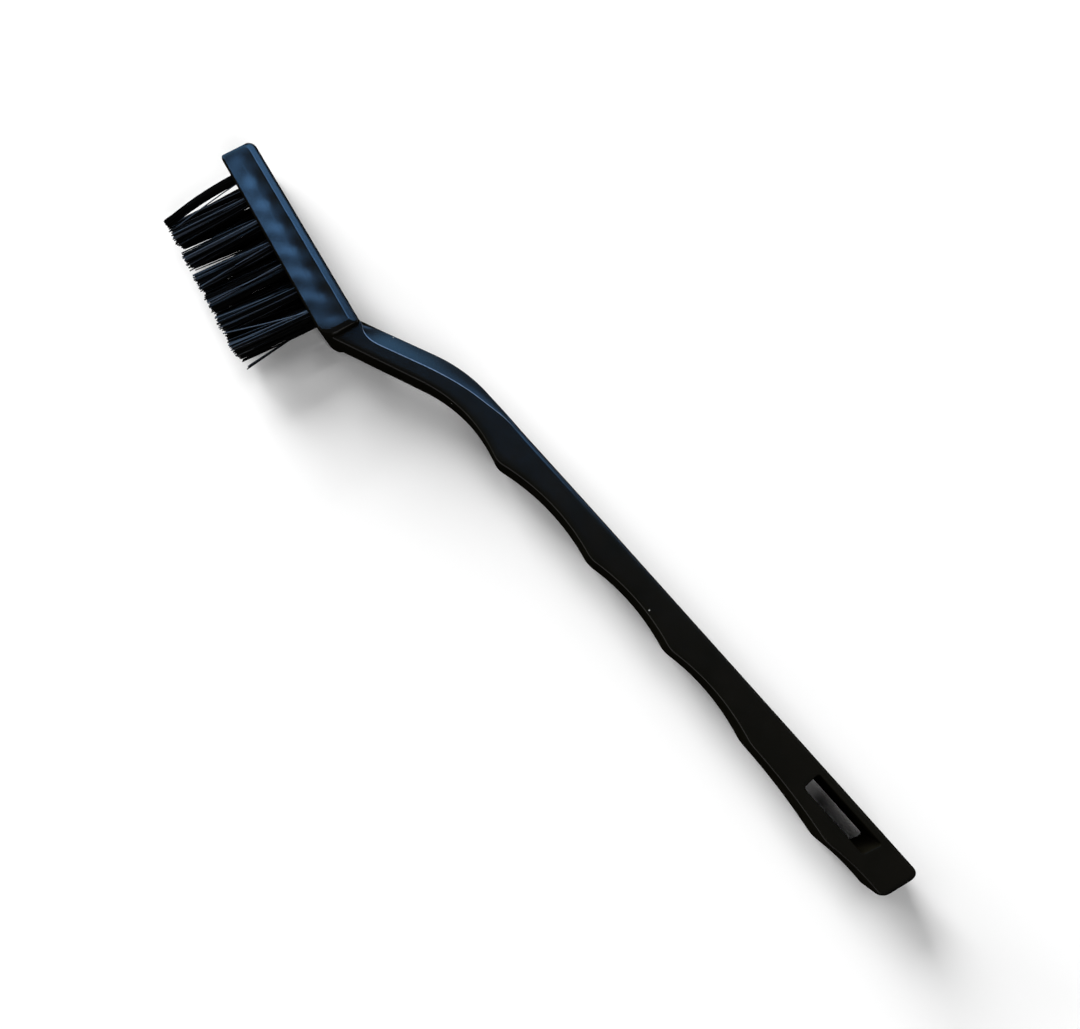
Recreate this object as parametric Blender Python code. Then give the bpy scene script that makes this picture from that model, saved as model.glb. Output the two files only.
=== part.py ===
"""Small black hand brush, modelled lying on its side as it is stored.

One plastic moulding carries a finger-grooved grip, a cranked neck and a tuft
block. Each tuft is a folded bundle of filaments held in a blind hole by a
flat wire anchor that bites into the plastic on both sides of the hole.

X runs along the straight back of the grip towards the butt, Y is the back of
the brush (the bristles point to -Y) and Z is the width. Lengths along the
grip are stations, measured from the butt towards the tuft block. The outline
is first drawn with the back corner of the butt at the origin and the middle
plane of the brush at z = 0, and then stood on its lower side.
"""

import bpy
import bmesh
import random
from math import cos, sin, tan, sqrt, pi, radians
from mathutils import Vector

MM = 0.001

# Grip
GRIP_WIDTH = 9.6 * MM
GRIP_EDGE_ROUND = 0.9 * MM
UNDERSIDE_ROUND_IN = 0.9 * MM
UNDERSIDE_ROUND_DOWN = 1.5 * MM
BUTT_SLANT = radians(11.5)
BUTT_BACK_RADIUS = 1.6 * MM
BUTT_UNDER_RADIUS = 1.3 * MM
BUTT_DEPTH = 7.55 * MM

# Finger grooves: the ridges between them, from the butt towards the neck.
# Each groove has a length, the depth of the grip at the ridge that ends it,
# and how far its floor rises above the straight line between two ridges.
HEEL_LENGTH = 12.0 * MM
HEEL_RISE = 0.45 * MM
HEEL_RIDGE_DEPTH = 8.45 * MM
GROOVES = (
    (19.8 * MM, 7.00 * MM, 0.42 * MM),
    (20.3 * MM, 6.60 * MM, 1.28 * MM),
    (20.6 * MM, 6.45 * MM, 1.30 * MM),
    (24.2 * MM, 7.35 * MM, 1.71 * MM),
)
RIDGE_ROUND = 1.3 * MM
THUMB_RIDGE_SLOPE = tan(radians(18.5))

# Cranked neck
BEND_SETBACK = 10.9 * MM
BEND_RADIUS = 30.0 * MM
NECK_ANGLE = radians(23.5)
NECK_UNDERSIDE_ANGLE = radians(22.1)
NECK_STRAIGHT = 14.3 * MM
NECK_WIDTH = 7.6 * MM
NECK_DEPTH = 5.95 * MM
NECK_FACET_WIDTH = 3.2 * MM
NECK_FACET_DROP = 1.3 * MM
NECK_FACET_LEAD = 3.0 * MM
NECK_FACET_ROOT_WIDTH = 1.5 * MM
NECK_FACET_ROOT_LENGTH = 4.0 * MM
NECK_FACET_ROUNDNESS = 0.12
NECK_SINK = 2.4 * MM

# Tuft block
BLOCK_ANGLE = radians(11.0)
BLOCK_LENGTH = 42.1 * MM
BLOCK_STEP = 0.65 * MM
BLOCK_BACK_TAPER = 0.6 * MM
BLOCK_THICKNESS = 7.4 * MM
BLOCK_WIDTH = 10.8 * MM
BLOCK_ROUND_DOWN = 1.2 * MM
BLOCK_ROUND_BACK = 1.5 * MM
BLOCK_ROUND_FRONT = 0.7 * MM
BLOCK_ROUND_ENDS = 1.1 * MM
BLOCK_NECK_BACK_RADIUS = 0.7 * MM
BLOCK_NECK_FRONT_RADIUS = 2.8 * MM
BLOCK_TIP_FRONT_RADIUS = 0.8 * MM
BLOCK_TIP_BACK_RADIUS = 1.5 * MM

# Hang slot, right through the grip near the butt
SLOT_LENGTH = 14.8 * MM
SLOT_WIDTH = 3.35 * MM
SLOT_FROM_BUTT = 7.7 * MM
SLOT_BUTT_END_SLANT = radians(16.5)
SLOT_FROM_BACK = 1.5 * MM
SLOT_CORNER_RADIUS = 0.5 * MM
SLOT_RIM_CHAMFER = 0.2 * MM

# Tufts: three rows, the middle one staggered by half a pitch
TUFT_PITCH = 5.22 * MM
TUFT_ROW_SPACING = 2.1 * MM
TUFT_TIP_MARGIN = 3.7 * MM
OUTER_ROW_TUFTS = 7
HOLE_DIAMETER = 2.4 * MM
HOLE_DEPTH = 4.8 * MM
HOLE_CLEARANCE = 0.1 * MM
ROOT_RECESS = 0.4 * MM
BRISTLE_LENGTH = 15.05 * MM
TRIM_RISE = 0.5 * MM
STRANDS_PER_TUFT = 20
STRAND_DIAMETER = 0.24 * MM
STRAND_TRIM_SPREAD = 0.3 * MM
BUNDLE_FLARE_ALONG = 1.85
BUNDLE_FLARE_ACROSS = 1.0

# Travel of a tuft's tip along the block, positive towards the neck. Use has
# pushed the tufts near the neck towards the tip and closed up the first one.
NECK_TUFT_LEAN = -2.0 * MM
FIRST_TUFT_LEAN = 1.8 * MM
FIRST_BUNDLE_FLARE = 1.0
FAR_FIRST_TUFT_LEAN = 0.6 * MM
STRAY_STRAND_LEAN = 0.9 * MM
STRAND_BEND_AT_MIDDLE = 0.42

# Wire anchors
ANCHOR_BITE = 0.2 * MM
ANCHOR_HEIGHT = 1.4 * MM
ANCHOR_THICKNESS = 0.3 * MM
ANCHOR_CLEARANCE = 0.1 * MM
ANCHOR_FROM_ROOT_END = 0.9 * MM
ANCHOR_EDGE_BREAK = 0.05 * MM

# Mesh fineness
ROUND_STEPS = 4
HOLE_SIDES = 12
ROOT_SIDES = 10
STRAND_SIDES = 3
SEED = 20


def clear_scene():
    for obj in list(bpy.data.objects):
        bpy.data.objects.remove(obj, do_unlink=True)


def make_material(name, colour, roughness, metallic=0.0):
    material = bpy.data.materials.new(name)
    material.use_nodes = True
    shader = material.node_tree.nodes["Principled BSDF"]
    shader.inputs["Base Color"].default_value = (*colour, 1.0)
    shader.inputs["Roughness"].default_value = roughness
    shader.inputs["Metallic"].default_value = metallic
    return material


def mesh_object(name, build, datum, material=None):
    """Make an object whose mesh is filled by build(bm)."""
    mesh = bpy.data.meshes.new(name)
    bm = bmesh.new()
    build(bm)
    bmesh.ops.recalc_face_normals(bm, faces=bm.faces)
    bm.to_mesh(mesh)
    bm.free()
    obj = bpy.data.objects.new(name, mesh)
    bpy.context.collection.objects.link(obj)
    obj.parent = datum
    if material:
        mesh.materials.append(material)
        mesh.shade_smooth()
        mesh.set_sharp_from_angle(angle=radians(35.0))
    else:
        obj.hide_render = True
        obj.display_type = "WIRE"
    return obj


def combine(obj, tool, operation):
    modifier = obj.modifiers.new(operation.lower() + "_" + tool.name, "BOOLEAN")
    modifier.operation = operation
    modifier.solver = "EXACT"
    modifier.object = tool


def skin_rings(bm, rings):
    """Join equal closed rings of points into one capped skin."""
    loops = [[bm.verts.new(point) for point in ring] for ring in rings]
    count = len(loops[0])
    for near, far in zip(loops, loops[1:]):
        for i in range(count):
            j = (i + 1) % count
            bm.faces.new((near[i], near[j], far[j], far[i]))
    bm.faces.new(loops[0][::-1])
    bm.faces.new(loops[-1])


def smoothstep(value, start, end):
    t = min(max((value - start) / (end - start), 0.0), 1.0)
    return t * t * (3.0 - 2.0 * t)


def blend(low, high, t):
    return low + (high - low) * t


def corner_drop(distance, radius):
    """How far a rounded corner has fallen away at a distance from the end."""
    if distance >= radius:
        return 0.0
    return radius - sqrt(radius * radius - (radius - distance) ** 2)


# Side outline of the grip and neck

RIDGES = [(HEEL_LENGTH + BUTT_DEPTH * tan(BUTT_SLANT), HEEL_RIDGE_DEPTH)]
for groove_length, ridge_depth, groove_rise in GROOVES:
    RIDGES.append((RIDGES[-1][0] + groove_length, ridge_depth))
THUMB_RIDGE = RIDGES[-1]
BEND_START = THUMB_RIDGE[0] + BEND_SETBACK
BEND_END = BEND_START + BEND_RADIUS * sin(NECK_ANGLE)
BEND_FALL = BEND_RADIUS * (1.0 - cos(NECK_ANGLE))
NECK_END = BEND_END + NECK_STRAIGHT * cos(NECK_ANGLE)
NECK_DROP = NECK_DEPTH / cos(NECK_ANGLE)


def back_height(station):
    """Height of the back, zero along the grip and falling over the neck."""
    if station <= BEND_START:
        return 0.0
    if station <= BEND_END:
        run = station - BEND_START
        return sqrt(BEND_RADIUS ** 2 - run ** 2) - BEND_RADIUS
    return -BEND_FALL - (station - BEND_END) * tan(NECK_ANGLE)


NECK_UNDERSIDE_START = BEND_END - NECK_DEPTH * sin(NECK_ANGLE)


def neck_underside(station):
    return -BEND_FALL - NECK_DROP - (station - BEND_END) * tan(NECK_UNDERSIDE_ANGLE)


def groove_floor(station, start, end, rise):
    """A shallow curve from one ridge to the next."""
    t = (station - start[0]) / (end[0] - start[0])
    return -blend(start[1], end[1], t) + 4.0 * rise * t * (1.0 - t)


def thumb_hollow(station):
    """From the last ridge into the straight underside of the neck."""
    length = NECK_UNDERSIDE_START - THUMB_RIDGE[0]
    t = (station - THUMB_RIDGE[0]) / length
    start = -THUMB_RIDGE[1]
    end = neck_underside(NECK_UNDERSIDE_START)
    leave = THUMB_RIDGE_SLOPE * length
    arrive = -tan(NECK_UNDERSIDE_ANGLE) * length
    return ((2 * t ** 3 - 3 * t ** 2 + 1) * start + (t ** 3 - 2 * t ** 2 + t) * leave
            + (3 * t ** 2 - 2 * t ** 3) * end + (t ** 3 - t ** 2) * arrive)


def underside_curve(station):
    """Height of the underside with its ridges left sharp."""
    if station > NECK_UNDERSIDE_START:
        return neck_underside(station)
    if station > THUMB_RIDGE[0]:
        return thumb_hollow(station)
    for index, groove in enumerate(GROOVES):
        if station > RIDGES[index][0]:
            start, end, rise = RIDGES[index], RIDGES[index + 1], groove[2]
        elif index == 0:
            butt = (BUTT_DEPTH * tan(BUTT_SLANT), BUTT_DEPTH)
            start, end, rise = butt, RIDGES[0], HEEL_RISE
    return groove_floor(station, start, end, rise)


def underside_height(station):
    """Height of the underside with every ridge rounded over."""
    for ridge, depth in RIDGES:
        if abs(station - ridge) < RIDGE_ROUND:
            t = (station - ridge + RIDGE_ROUND) / (2.0 * RIDGE_ROUND)
            before = underside_curve(ridge - RIDGE_ROUND)
            after = underside_curve(ridge + RIDGE_ROUND)
            return (1 - t) ** 2 * before - 2 * t * (1 - t) * depth + t ** 2 * after
    return underside_curve(station)


def half_width(station):
    swell = smoothstep(station, BEND_END - BEND_SETBACK, RIDGES[-2][0])
    return blend(NECK_WIDTH, GRIP_WIDTH, swell) / 2.0


def back_edge(station):
    """Width, drop and roundness of the edge between the back and a side."""
    neck = smoothstep(station, BEND_START - NECK_FACET_LEAD, BEND_END)
    root = smoothstep(station, NECK_END - NECK_FACET_ROOT_LENGTH, NECK_END)
    facet = blend(NECK_FACET_WIDTH, NECK_FACET_ROOT_WIDTH, root)
    width = blend(GRIP_EDGE_ROUND, facet, neck)
    drop = blend(GRIP_EDGE_ROUND, NECK_FACET_DROP, neck)
    return width, drop, blend(1.0, NECK_FACET_ROUNDNESS, neck)


def grip_section(back, under, half, edge):
    """Closed ring between a back point and an underside point."""
    width, drop, roundness = edge
    down = (under - back).normalized()
    side = Vector((0.0, 0.0, 1.0))
    upper = []
    for step in range(ROUND_STEPS + 1):
        t = step / ROUND_STEPS
        angle = t * pi / 2.0
        fall = blend(t, 1.0 - cos(angle), roundness) * width
        out = half - drop + blend(t, sin(angle), roundness) * drop
        upper.append(back + down * fall + side * out)
    for step in range(ROUND_STEPS + 1):
        angle = step / ROUND_STEPS * pi / 2.0
        rise = (1.0 - sin(angle)) * UNDERSIDE_ROUND_IN
        out = half - (1.0 - cos(angle)) * UNDERSIDE_ROUND_DOWN
        upper.append(under - down * rise + side * out)
    lower = [Vector((point.x, point.y, -point.z)) for point in reversed(upper)]
    return upper + lower


def butt_slant(station):
    """Sections lean with the butt and straighten before the first ridge."""
    return tan(BUTT_SLANT) * (1.0 - smoothstep(station, 0.0, HEEL_LENGTH - RIDGE_ROUND))


def grip_stations():
    """Places along the grip where a section is drawn."""
    ends = max(BUTT_BACK_RADIUS, BUTT_UNDER_RADIUS)
    stations = [ends * (1.0 - cos(i * pi / 10.0)) for i in range(6)]
    heel = HEEL_LENGTH + BUTT_DEPTH * tan(BUTT_SLANT) - RIDGE_ROUND
    stations += [blend(ends, heel, i / 7.0) for i in range(1, 7)]
    for index, (ridge, depth) in enumerate(RIDGES):
        stations += [ridge + RIDGE_ROUND * (i / 2.0 - 1.0) for i in range(5)]
        if index < len(GROOVES):
            start = ridge + RIDGE_ROUND
            end = RIDGES[index + 1][0] - RIDGE_ROUND
            stations += [blend(start, end, i / 7.0) for i in range(1, 7)]
    thumb = THUMB_RIDGE[0] + RIDGE_ROUND
    stations += [blend(thumb, BEND_END, i / 12.0) for i in range(1, 13)]
    root = NECK_END - NECK_FACET_ROOT_LENGTH
    stations += [blend(BEND_END, root, i / 4.0) for i in range(1, 5)]
    stations += [blend(root, NECK_END, i / 4.0) for i in range(1, 5)]
    stations.append(NECK_END + NECK_SINK)
    return stations


def build_grip(bm):
    rings = []
    for station in grip_stations():
        slant = butt_slant(station)
        under_station = station + slant * -underside_height(station + slant * BUTT_DEPTH)
        back = Vector((-station, back_height(station), 0.0))
        under = Vector((-under_station, underside_height(under_station), 0.0))
        down = (under - back).normalized()
        back += down * corner_drop(station, BUTT_BACK_RADIUS)
        under -= down * corner_drop(station, BUTT_UNDER_RADIUS)
        half = half_width(station) - corner_drop(station, GRIP_EDGE_ROUND)
        rings.append(grip_section(back, under, half, back_edge(station)))
    skin_rings(bm, rings)


# Tuft block, in its own frame: along runs from the tip to the neck, and
# down runs from the back of the block towards the bristles

BLOCK_CORNER = Vector((-NECK_END, back_height(NECK_END) - BLOCK_STEP, 0.0))
BLOCK_ALONG = Vector((cos(BLOCK_ANGLE), -sin(BLOCK_ANGLE), 0.0))
BLOCK_DOWN = Vector((-sin(BLOCK_ANGLE), -cos(BLOCK_ANGLE), 0.0))


def block_point(along, down, across):
    """A point in the block, along and down from its back corner at the neck."""
    return BLOCK_CORNER + BLOCK_ALONG * along + BLOCK_DOWN * down + Vector((0, 0, across))


def rounded_outline(low, high, radii, steps):
    """A rectangle between two corners with its own radius at each corner."""
    corners = ((high[0], low[1], -pi / 2), (high[0], high[1], 0.0),
               (low[0], high[1], pi / 2), (low[0], low[1], pi))
    points = []
    for (x, y, start), radius in zip(corners, radii):
        centre_x = x - radius if x == high[0] else x + radius
        centre_y = y - radius if y == high[1] else y + radius
        for step in range(steps + 1):
            angle = start + step / steps * pi / 2
            points.append((centre_x + radius * cos(angle), centre_y + radius * sin(angle)))
    return points


def block_ring(inset, across):
    """One level of the block, drawn in by a share of its edge rounding."""
    low = (-BLOCK_LENGTH + BLOCK_ROUND_ENDS * inset, BLOCK_ROUND_BACK * inset)
    high = (-BLOCK_ROUND_ENDS * inset, BLOCK_THICKNESS - BLOCK_ROUND_FRONT * inset)
    radii = (BLOCK_NECK_BACK_RADIUS, BLOCK_NECK_FRONT_RADIUS,
             BLOCK_TIP_FRONT_RADIUS, BLOCK_TIP_BACK_RADIUS)
    ring = []
    for along, down in rounded_outline(low, high, radii, ROUND_STEPS + 1):
        taper = BLOCK_BACK_TAPER * (-along / BLOCK_LENGTH) * (1.0 - down / BLOCK_THICKNESS)
        ring.append(block_point(along, down + taper, across))
    return ring


def build_block(bm):
    rings = []
    for step in range(ROUND_STEPS + 1):
        angle = (1.0 - step / ROUND_STEPS) * pi / 2
        level = BLOCK_WIDTH / 2 - BLOCK_ROUND_DOWN * (1.0 - sin(angle))
        rings.append(block_ring(1.0 - cos(angle), level))
    skin_rings(bm, rings + [[Vector((p.x, p.y, -p.z)) for p in ring] for ring in reversed(rings)])


def build_slot(bm):
    """The hang slot with a chamfered rim on both sides."""
    over = GRIP_WIDTH / 2 + SLOT_LENGTH / 20
    levels = ((over, over - GRIP_WIDTH / 2 + SLOT_RIM_CHAMFER),
              (GRIP_WIDTH / 2 - SLOT_RIM_CHAMFER, 0.0))
    levels += tuple((-across, grow) for across, grow in reversed(levels))
    rings = []
    for across, grow in levels:
        low = (-SLOT_FROM_BUTT - SLOT_LENGTH - grow, -SLOT_FROM_BACK - SLOT_WIDTH - grow)
        high = (-SLOT_FROM_BUTT + grow, -SLOT_FROM_BACK + grow)
        outline = rounded_outline(low, high, [SLOT_CORNER_RADIUS + grow] * 4, ROUND_STEPS)
        ring = []
        for x, y in outline:
            near_butt = (x - low[0]) / (high[0] - low[0])
            slant = near_butt * (y + SLOT_FROM_BACK) * tan(SLOT_BUTT_END_SLANT)
            ring.append(Vector((x + slant, y, across)))
        rings.append(ring)
    skin_rings(bm, rings)


def tuft_places():
    """Name, row and position of every tuft, from the tip to the neck."""
    places = []
    first = -BLOCK_LENGTH + TUFT_TIP_MARGIN
    for row, (letter, shift) in enumerate((("a", 0.0), ("b", 0.5), ("c", 0.0))):
        count = OUTER_ROW_TUFTS if shift == 0.0 else OUTER_ROW_TUFTS - 1
        for column in range(count):
            along = first + (column + shift) * TUFT_PITCH
            across = (1 - row) * TUFT_ROW_SPACING
            places.append((letter + str(column + 1), along, across))
    return places


HOLE_FLOOR = BLOCK_THICKNESS - HOLE_DEPTH
ROOT_END = HOLE_FLOOR + HOLE_CLEARANCE
ROOT_TOP = BLOCK_THICKNESS - ROOT_RECESS
ROOT_RADIUS = HOLE_DIAMETER / 2 - HOLE_CLEARANCE
ANCHOR_CENTRE = ROOT_END + ANCHOR_FROM_ROOT_END + ANCHOR_HEIGHT / 2


def block_circle(along, across, down, radius, sides):
    angles = [2 * pi * i / sides for i in range(sides)]
    return [block_point(along + radius * cos(a), down, across + radius * sin(a)) for a in angles]


def build_holes(bm):
    """Blind holes for the tufts, open at the bristle face."""
    for name, along, across in tuft_places():
        levels = (HOLE_FLOOR, BLOCK_THICKNESS + HOLE_DEPTH / 4)
        skin_rings(bm, [block_circle(along, across, level, HOLE_DIAMETER / 2, HOLE_SIDES)
                        for level in levels])


def block_box(bm, along, across, size, grow):
    """A box in the block's frame, sized along, down and across it."""
    rings = []
    for side in (-1, 1):
        down = ANCHOR_CENTRE + side * (size[1] / 2 + grow)
        half_along = size[0] / 2 + grow
        half_across = size[2] / 2 + grow
        corners = ((-1, -1), (1, -1), (1, 1), (-1, 1))
        rings.append([block_point(along + a * half_along, down, across + b * half_across)
                      for a, b in corners])
    skin_rings(bm, rings)


ANCHOR_LENGTH = HOLE_DIAMETER + 2 * ANCHOR_BITE
ANCHOR_SIZE = (ANCHOR_LENGTH, ANCHOR_HEIGHT, ANCHOR_THICKNESS)


def build_anchor_space(bm):
    """Room for every anchor: the bites in the plastic and the fold round it."""
    for name, along, across in tuft_places():
        block_box(bm, along, across, ANCHOR_SIZE, ANCHOR_CLEARANCE)


def strand_roots():
    """Even places for the strands inside the root of a bundle."""
    reach = ROOT_RADIUS - STRAND_DIAMETER * 0.6
    golden = pi * (3.0 - sqrt(5.0))
    roots = []
    for index in range(STRANDS_PER_TUFT):
        radius = reach * sqrt((index + 0.5) / STRANDS_PER_TUFT)
        roots.append((radius * cos(index * golden), radius * sin(index * golden)))
    return roots


def from_tip(along):
    """Share of the block's length between its tip and a place along it."""
    return 1.0 + along / BLOCK_LENGTH


def tuft_fan(name, along):
    """Travel of a tuft's tip towards the neck, and how far the tuft opens."""
    if name == "a1":
        return FIRST_TUFT_LEAN, FIRST_BUNDLE_FLARE
    if name == "c1":
        return FAR_FIRST_TUFT_LEAN, BUNDLE_FLARE_ALONG
    return NECK_TUFT_LEAN * from_tip(along) ** 2, BUNDLE_FLARE_ALONG


def build_tuft(bm, place, draw):
    """A root plug with its strands growing out of the plug's top face."""
    name, along, across = place
    lean, flare = tuft_fan(name, along)
    rings = [[bm.verts.new(p)
              for p in block_circle(along, across, level, ROOT_RADIUS, ROOT_SIDES)]
             for level in (ROOT_END, ROOT_TOP)]
    for i in range(ROOT_SIDES):
        j = (i + 1) % ROOT_SIDES
        bm.faces.new((rings[0][i], rings[0][j], rings[1][j], rings[1][i]))
    bm.faces.new(rings[0])
    top = rings[1]
    rim = [bm.edges.get((top[i], top[(i + 1) % ROOT_SIDES])) for i in range(ROOT_SIDES)]
    levels = ((0.0, 0.0), (0.5, STRAND_BEND_AT_MIDDLE), (1.0, 1.0))
    trimmed = BRISTLE_LENGTH + ROOT_RECESS + TRIM_RISE * from_tip(along)
    stray = max(range(STRANDS_PER_TUFT), key=lambda k: strand_roots()[k][0])
    for index, (root_along, root_across) in enumerate(strand_roots()):
        length = trimmed + draw.uniform(-1, 1) * STRAND_TRIM_SPREAD
        drift = draw.uniform(-1, 1) * STRAND_DIAMETER / 2
        turn = draw.uniform(0, 2 * pi)
        lone = STRAY_STRAND_LEAN if name == "c" + str(OUTER_ROW_TUFTS) and index == stray else 0
        loops = []
        for share, bend in levels:
            centre_along = root_along * blend(1, flare, bend) + (lean + drift + lone) * bend
            centre_across = root_across * blend(1, BUNDLE_FLARE_ACROSS, bend)
            circle = block_circle(along + centre_along, across + centre_across,
                                  ROOT_TOP + length * share, STRAND_DIAMETER / 2,
                                  STRAND_SIDES)
            middle = block_point(along + centre_along, ROOT_TOP + length * share,
                                 across + centre_across)
            loops.append([bm.verts.new(middle + turned(p - middle, turn)) for p in circle])
        base = loops[0]
        rim += [bm.edges.new((base[i], base[(i + 1) % STRAND_SIDES]))
                for i in range(STRAND_SIDES)]
        for near, far in zip(loops, loops[1:]):
            for i in range(STRAND_SIDES):
                j = (i + 1) % STRAND_SIDES
                bm.faces.new((near[i], near[j], far[j], far[i]))
        bm.faces.new(loops[-1])
    bmesh.ops.triangle_fill(bm, edges=rim, use_beauty=True, normal=BLOCK_DOWN)


def turned(offset, angle):
    """An offset in the bristle face, turned about the bristle direction."""
    along = offset.dot(BLOCK_ALONG)
    across = offset.z
    return (BLOCK_ALONG * (along * cos(angle) - across * sin(angle))
            + Vector((0, 0, along * sin(angle) + across * cos(angle))))


def add_edge_break(obj):
    bevel = obj.modifiers.new("edge_break", "BEVEL")
    bevel.width = ANCHOR_EDGE_BREAK
    bevel.segments = 1


def stand_on_side(datum, nodes):
    """Move the whole brush so that its lower side stands on z = 0, centred."""
    depsgraph = bpy.context.evaluated_depsgraph_get()
    low = Vector((1e9, 1e9, 1e9))
    high = -low
    for obj in nodes:
        for corner in obj.evaluated_get(depsgraph).data.vertices:
            for axis in range(3):
                low[axis] = min(low[axis], corner.co[axis])
                high[axis] = max(high[axis], corner.co[axis])
    datum.location = (-(low.x + high.x) / 2, -(low.y + high.y) / 2, -low.z)


def main():
    clear_scene()
    plastic = make_material("black_plastic", (0.010, 0.011, 0.012), 0.34)
    nylon = make_material("black_nylon", (0.012, 0.013, 0.015), 0.30)
    steel = make_material("anchor_steel", (0.55, 0.55, 0.56), 0.35, 1.0)
    datum = bpy.data.objects.new("brush_datum", None)
    bpy.context.collection.objects.link(datum)

    block = mesh_object("block_form", build_block, datum)
    slot = mesh_object("slot_cutter", build_slot, datum)
    holes = mesh_object("hole_cutter", build_holes, datum)
    anchor_space = mesh_object("anchor_space", build_anchor_space, datum)

    handle = mesh_object("handle", build_grip, datum, plastic)
    combine(handle, block, "UNION")
    combine(handle, slot, "DIFFERENCE")
    combine(handle, holes, "DIFFERENCE")
    combine(handle, anchor_space, "DIFFERENCE")
    nodes = [handle]

    draw = random.Random(SEED)
    for place in tuft_places():
        name, along, across = place
        tuft = mesh_object("tuft_" + name, lambda bm: build_tuft(bm, place, draw), datum, nylon)
        combine(tuft, anchor_space, "DIFFERENCE")
        anchor = mesh_object("anchor_" + name,
                             lambda bm: block_box(bm, along, across, ANCHOR_SIZE, 0.0),
                             datum, steel)
        add_edge_break(anchor)
        nodes += [tuft, anchor]

    stand_on_side(datum, nodes)


main()
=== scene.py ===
"""A small black hand brush with a cranked neck, lying on its side on a white table.

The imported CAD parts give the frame. Over them go a finer moulding for the handle,
nylon filaments in place of the plain tufts, and steel on the wire anchors.

The outline of the moulding is drawn as in the CAD source: stations run from the
butt towards the tuft block, the back corner of the butt is the origin, and the
middle plane of the brush is z = 0. main() then moves it onto the CAD handle.
"""

from math import cos, exp, pi, radians, sin, sqrt, tan

import bmesh
import bpy
from mathutils import Matrix, Vector
from mathutils.kdtree import KDTree


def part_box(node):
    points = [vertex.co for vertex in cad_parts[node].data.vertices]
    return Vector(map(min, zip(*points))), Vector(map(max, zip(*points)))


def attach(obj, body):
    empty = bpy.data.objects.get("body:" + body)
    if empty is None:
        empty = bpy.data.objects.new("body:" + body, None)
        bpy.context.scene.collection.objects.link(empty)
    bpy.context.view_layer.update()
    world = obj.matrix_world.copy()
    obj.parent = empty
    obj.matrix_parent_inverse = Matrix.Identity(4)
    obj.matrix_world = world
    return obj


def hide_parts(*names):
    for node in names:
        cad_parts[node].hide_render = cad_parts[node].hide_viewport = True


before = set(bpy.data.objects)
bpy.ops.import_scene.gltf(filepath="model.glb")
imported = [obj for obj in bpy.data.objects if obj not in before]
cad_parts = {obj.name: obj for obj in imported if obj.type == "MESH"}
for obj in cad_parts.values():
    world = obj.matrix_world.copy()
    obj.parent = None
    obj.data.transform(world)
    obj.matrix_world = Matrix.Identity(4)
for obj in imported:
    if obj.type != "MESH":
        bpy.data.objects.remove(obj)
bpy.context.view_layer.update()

MM = 0.001

# Grip. The sizes repeat those of the CAD source, unless a comment says otherwise
GRIP_WIDTH = 9.6 * MM
GRIP_EDGE_ROUND = 0.9 * MM
UNDERSIDE_ROUND_IN = 0.9 * MM
UNDERSIDE_ROUND_DOWN = 1.5 * MM
BUTT_SLANT = radians(11.5)
BUTT_BACK_RADIUS = 1.6 * MM
BUTT_UNDER_RADIUS = 1.3 * MM
BUTT_DEPTH = 7.55 * MM
HEEL_LENGTH = 12.0 * MM
HEEL_RISE = 0.45 * MM
HEEL_RIDGE_DEPTH = 8.45 * MM
# each finger groove: length, depth of the ridge at its end, rise of its floor
GROOVES = (
    (19.8 * MM, 7.00 * MM, 0.42 * MM),
    (20.3 * MM, 6.60 * MM, 1.28 * MM),
    (20.6 * MM, 6.45 * MM, 1.30 * MM),
    (24.2 * MM, 7.35 * MM, 1.71 * MM),
)
RIDGE_ROUND = 1.3 * MM
THUMB_RIDGE_SLOPE = tan(radians(18.5))

# Cranked neck
BEND_SETBACK = 10.9 * MM
BEND_RADIUS = 30.0 * MM
NECK_ANGLE = radians(23.5)
NECK_UNDERSIDE_ANGLE = radians(22.1)
NECK_STRAIGHT = 14.3 * MM
NECK_WIDTH = 7.6 * MM
NECK_DEPTH = 5.95 * MM
NECK_FACET_WIDTH = 3.2 * MM
NECK_FACET_DROP = 1.3 * MM
NECK_SINK = 2.4 * MM
# finer than in the CAD: the facet runs out slowly over the bend and curves away at its root
NECK_FACET_RUN_OUT = 26.0 * MM
NECK_FACET_ROOT_WIDTH = 0.4 * MM
NECK_FACET_ROOT_LENGTH = 6.5 * MM

# Tuft block
BLOCK_ANGLE = radians(11.0)
BLOCK_LENGTH = 42.1 * MM
BLOCK_STEP = 0.65 * MM
BLOCK_BACK_TAPER = 0.6 * MM
BLOCK_THICKNESS = 7.4 * MM
BLOCK_WIDTH = 10.8 * MM
BLOCK_ROUND_BACK = 1.5 * MM
BLOCK_ROUND_ENDS = 1.1 * MM
BLOCK_NECK_BACK_RADIUS = 0.7 * MM
BLOCK_NECK_FRONT_RADIUS = 2.8 * MM
BLOCK_TIP_FRONT_RADIUS = 0.8 * MM
BLOCK_TIP_BACK_RADIUS = 1.5 * MM
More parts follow.
